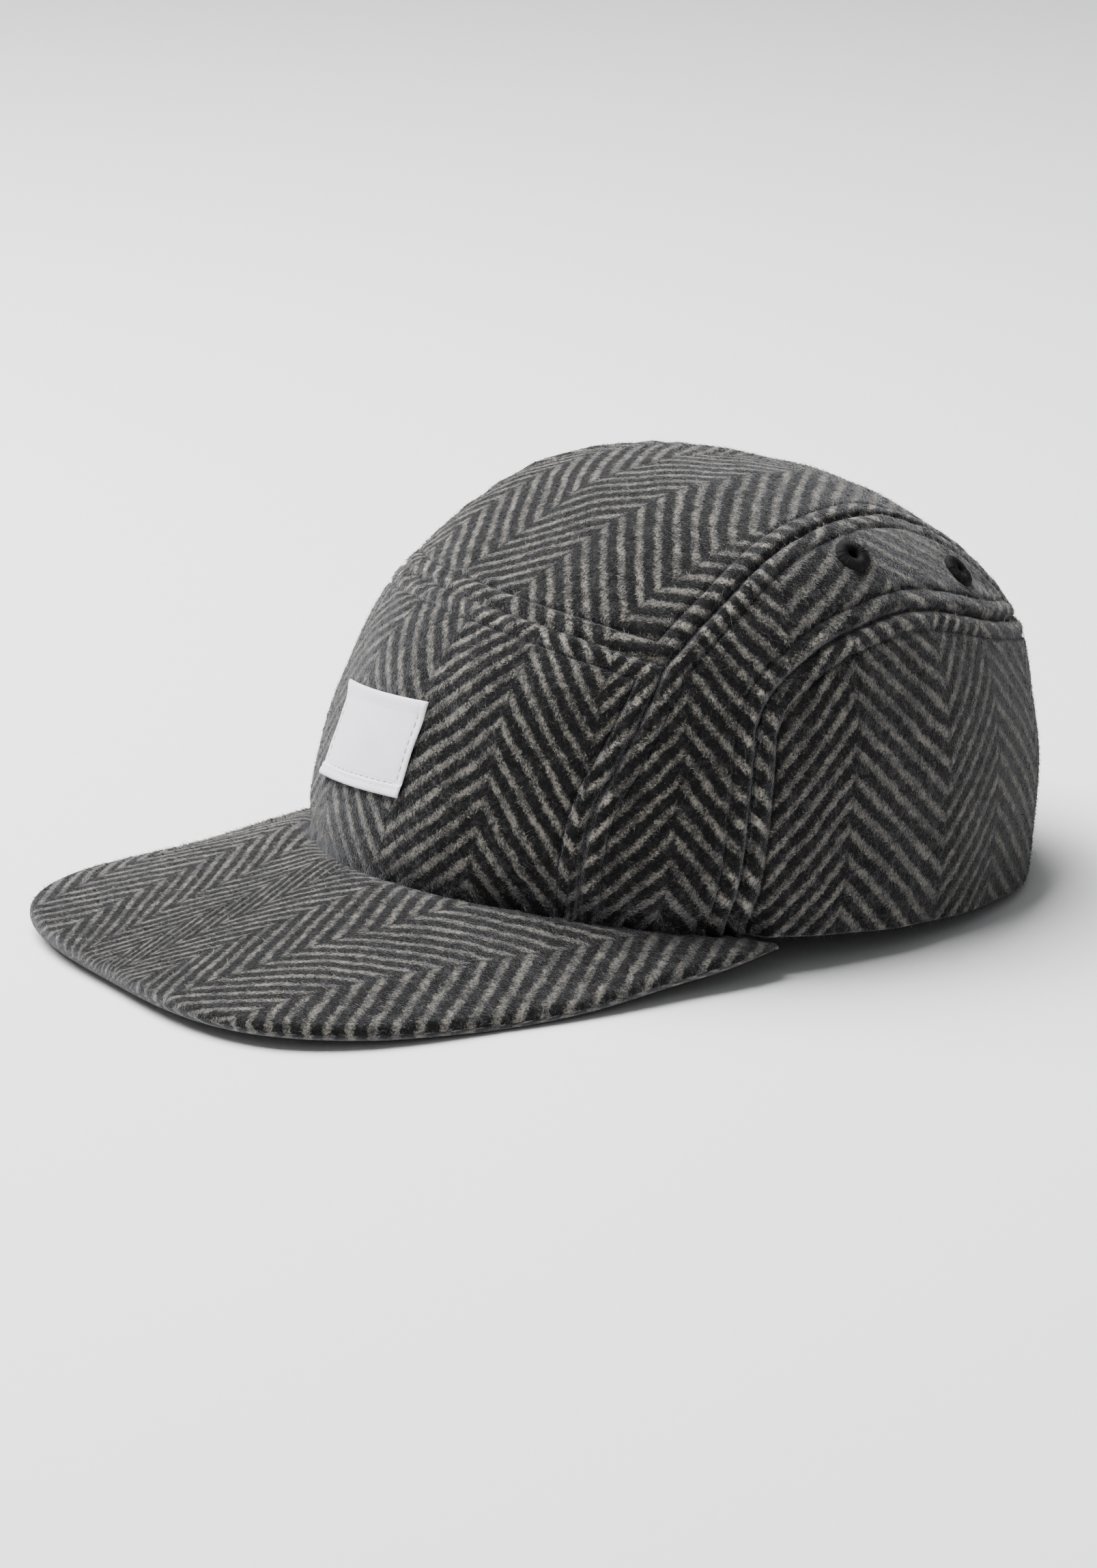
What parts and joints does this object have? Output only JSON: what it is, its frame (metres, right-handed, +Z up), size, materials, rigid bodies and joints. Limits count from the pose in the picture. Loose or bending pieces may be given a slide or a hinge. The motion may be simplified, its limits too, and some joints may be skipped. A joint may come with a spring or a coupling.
{
  "type": "five-panel cap",
  "caption": "Panelled camp cap in thick herringbone wool with an arched cloth-covered peak, a blank woven front label and stitched side eyelets.",
  "frame": {"origin": "on the floor under the middle of the cap's bounding box", "axes": "+Z up, the peak points along -Y, the wearer's left is +X"},
  "size_m": [0.1664, 0.2768, 0.1134],
  "materials": {
    "herringbone_wool": "thick brushed wool in charcoal and grey herringbone",
    "woven_label": "white satin-woven label, blank",
    "black_thread": "black embroidery thread"
  },
  "bodies": {
    "root": {"front_panel": "herringbone_wool", "top_panel": "herringbone_wool", "side_panel_left": "herringbone_wool", "side_panel_right": "herringbone_wool", "back_panel": "herringbone_wool", "peak": "herringbone_wool", "label": "woven_label", "eyelet_left_front": "black_thread", "eyelet_left_rear": "black_thread", "eyelet_right_front": "black_thread", "eyelet_right_rear": "black_thread"}
  },
  "joints": []
}
